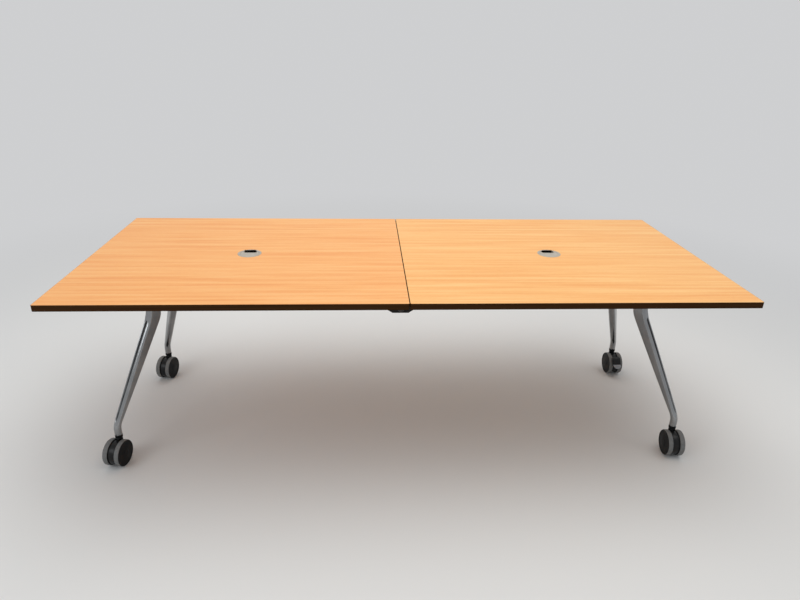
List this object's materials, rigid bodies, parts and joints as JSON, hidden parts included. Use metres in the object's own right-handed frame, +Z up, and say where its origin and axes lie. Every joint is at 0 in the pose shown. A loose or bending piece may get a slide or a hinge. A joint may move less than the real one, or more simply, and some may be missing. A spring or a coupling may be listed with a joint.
{
  "type": "flip top training table",
  "caption": "Wheeled training table whose two wood-effect halves flip up about a cross seam for storage, on splayed cast legs with twin-wheel castors, one braked, and cable grommets.",
  "frame": {"origin": "on the floor, under the middle of the worktop", "axes": "+X along the long side of the worktop, +Y to the rear long side, +Z up"},
  "size_m": [2.4, 1, 0.73],
  "materials": {
    "beech_laminate": "satin",
    "edge_band": "satin",
    "grey_plastic": "satin",
    "black_steel": "satin",
    "bright_steel": "satin",
    "cast_aluminium": "polished",
    "black_plastic": "satin",
    "grey_tyre": "matte"
  },
  "bodies": {
    "left_leg_frame": {"left_bridge": "black_steel", "left_main_shaft": "bright_steel", "left_front_leg": "cast_aluminium", "left_rear_leg": "cast_aluminium", "left_clevis_pin": "bright_steel", "front_left_castor_stem": "black_plastic", "rear_left_castor_stem": "black_plastic"},
    "left_half": {"left_board": "beech_laminate", "left_edge_band": "edge_band", "left_grommet_liner": "grey_plastic", "left_front_rail": "black_steel", "left_rear_rail": "black_steel"},
    "hub": {"hub_front_plate": "black_steel", "hub_rear_plate": "black_steel", "hub_spacer": "bright_steel", "hub_left_shaft": "bright_steel", "hub_right_shaft": "bright_steel", "hub_left_rod_pin": "bright_steel", "hub_right_rod_pin": "bright_steel"},
    "right_half": {"right_board": "beech_laminate", "right_edge_band": "edge_band", "right_grommet_liner": "grey_plastic", "right_front_rail": "black_steel", "right_rear_rail": "black_steel"},
    "right_leg_frame": {"right_bridge": "black_steel", "right_main_shaft": "bright_steel", "right_front_leg": "cast_aluminium", "right_rear_leg": "cast_aluminium", "right_clevis_pin": "bright_steel", "front_right_castor_stem": "black_plastic", "rear_right_castor_stem": "black_plastic"},
    "left_rod": {"left_push_rod": "black_steel"},
    "right_rod": {"right_push_rod": "black_steel"},
    "lock": {"lock_plunger": "grey_plastic"},
    "left_cap": {"left_grommet_cap": "grey_plastic"},
    "right_cap": {"right_grommet_cap": "grey_plastic"},
    "front_left_castor": {"front_left_castor_hood": "black_plastic"},
    "front_left_wheel_1": {"front_left_wheel_hub_1": "black_plastic", "front_left_tyre_1": "grey_tyre"},
    "front_left_wheel_2": {"front_left_wheel_hub_2": "black_plastic", "front_left_tyre_2": "grey_tyre"},
    "front_right_castor": {"front_right_castor_hood": "black_plastic"},
    "front_right_wheel_1": {"front_right_wheel_hub_1": "black_plastic", "front_right_tyre_1": "grey_tyre"},
    "front_right_wheel_2": {"front_right_wheel_hub_2": "black_plastic", "front_right_tyre_2": "grey_tyre"},
    "rear_left_castor": {"rear_left_castor_hood": "black_plastic"},
    "rear_left_wheel_1": {"rear_left_wheel_hub_1": "black_plastic", "rear_left_tyre_1": "grey_tyre"},
    "rear_left_wheel_2": {"rear_left_wheel_hub_2": "black_plastic", "rear_left_tyre_2": "grey_tyre"},
    "rear_right_castor": {"rear_right_castor_hood": "black_plastic"},
    "rear_right_wheel_1": {"rear_right_wheel_hub_1": "black_plastic", "rear_right_tyre_1": "grey_tyre"},
    "rear_right_wheel_2": {"rear_right_wheel_hub_2": "black_plastic", "rear_right_tyre_2": "grey_tyre"},
    "rear_right_pedal": {"rear_right_brake_pedal": "grey_plastic"}
  },
  "joints": [
    {"name": "fold", "type": "hinge", "parent": "left_leg_frame", "child": "left_half", "pos_m": [-0.95, 0, 0.62], "axis": [0, -1, 0], "range_deg": [0, 90]},
    {"name": "hub_level", "type": "hinge", "parent": "left_half", "child": "hub", "pos_m": [-0.06, 0, 0.62], "axis": [0, -1, 0], "range_deg": [-90, 0]},
    {"name": "right_fold", "type": "hinge", "parent": "hub", "child": "right_half", "pos_m": [0.06, 0, 0.62], "axis": [0, -1, 0], "range_deg": [-90, 0]},
    {"name": "right_frame_level", "type": "hinge", "parent": "right_half", "child": "right_leg_frame", "pos_m": [0.95, 0, 0.62], "axis": [0, -1, 0], "range_deg": [0, 90]},
    {"name": "left_rod_swing", "type": "hinge", "parent": "left_leg_frame", "child": "left_rod", "pos_m": [-0.916, 0, 0.52], "axis": [0, -1, 0], "range_deg": [0, 90]},
    {"name": "right_rod_swing", "type": "hinge", "parent": "right_leg_frame", "child": "right_rod", "pos_m": [0.916, 0, 0.52], "axis": [0, -1, 0], "range_deg": [-90, 0]},
    {"name": "lock_pull", "type": "slide", "parent": "hub", "child": "lock", "axis": [0, -1, 0], "range_m": [0, 0.01], "stiffness_N_per_m": 900},
    {"name": "left_cap_turn", "type": "hinge", "parent": "left_half", "child": "left_cap", "pos_m": [-0.6, 0, 0.73], "axis": [0, 0, 1], "continuous": true},
    {"name": "right_cap_turn", "type": "hinge", "parent": "right_half", "child": "right_cap", "pos_m": [0.6, 0, 0.73], "axis": [0, 0, 1], "continuous": true},
    {"name": "front_left_swivel", "type": "hinge", "parent": "left_leg_frame", "child": "front_left_castor", "pos_m": [-1.085, -0.327, 0.105], "axis": [0, 0, 1], "continuous": true},
    {"name": "front_left_spin_1", "type": "hinge", "parent": "front_left_castor", "child": "front_left_wheel_1", "pos_m": [-1.08999, -0.35048, 0.051], "axis": [0.9781, -0.2079, 0], "continuous": true},
    {"name": "front_left_spin_2", "type": "hinge", "parent": "front_left_castor", "child": "front_left_wheel_2", "pos_m": [-1.08999, -0.35048, 0.051], "axis": [0.9781, -0.2079, 0], "continuous": true},
    {"name": "front_right_swivel", "type": "hinge", "parent": "right_leg_frame", "child": "front_right_castor", "pos_m": [1.085, -0.327, 0.105], "axis": [0, 0, 1], "continuous": true},
    {"name": "front_right_spin_1", "type": "hinge", "parent": "front_right_castor", "child": "front_right_wheel_1", "pos_m": [1.08333, -0.35094, 0.051], "axis": [0.9976, -0.0698, 0], "continuous": true},
    {"name": "front_right_spin_2", "type": "hinge", "parent": "front_right_castor", "child": "front_right_wheel_2", "pos_m": [1.08333, -0.35094, 0.051], "axis": [0.9976, -0.0698, 0], "continuous": true},
    {"name": "rear_left_swivel", "type": "hinge", "parent": "left_leg_frame", "child": "rear_left_castor", "pos_m": [-1.085, 0.327, 0.105], "axis": [0, 0, 1], "continuous": true},
    {"name": "rear_left_spin_1", "type": "hinge", "parent": "rear_left_castor", "child": "rear_left_wheel_1", "pos_m": [-1.08999, 0.30352, 0.051], "axis": [0.9781, -0.2079, 0], "continuous": true},
    {"name": "rear_left_spin_2", "type": "hinge", "parent": "rear_left_castor", "child": "rear_left_wheel_2", "pos_m": [-1.08999, 0.30352, 0.051], "axis": [0.9781, -0.2079, 0], "continuous": true},
    {"name": "rear_right_swivel", "type": "hinge", "parent": "right_leg_frame", "child": "rear_right_castor", "pos_m": [1.085, 0.327, 0.105], "axis": [0, 0, 1], "continuous": true},
    {"name": "rear_right_spin_1", "type": "hinge", "parent": "rear_right_castor", "child": "rear_right_wheel_1", "pos_m": [1.085, 0.303, 0.051], "axis": [1, 0, 0], "continuous": true},
    {"name": "rear_right_spin_2", "type": "hinge", "parent": "rear_right_castor", "child": "rear_right_wheel_2", "pos_m": [1.085, 0.303, 0.051], "axis": [1, 0, 0], "continuous": true},
    {"name": "rear_right_brake_press", "type": "hinge", "parent": "rear_right_castor", "child": "rear_right_pedal", "pos_m": [1.085, 0.273, 0.077], "axis": [1, 0, 0], "range_deg": [0, 10]}
  ],
  "couplings": [
    {"joint": "hub_level", "follows": "fold", "ratio": -1},
    {"joint": "right_fold", "follows": "fold", "ratio": -1},
    {"joint": "right_frame_level", "follows": "fold", "ratio": 1},
    {"joint": "left_rod_swing", "follows": "fold", "ratio": 1},
    {"joint": "right_rod_swing", "follows": "fold", "ratio": -1}
  ]
}
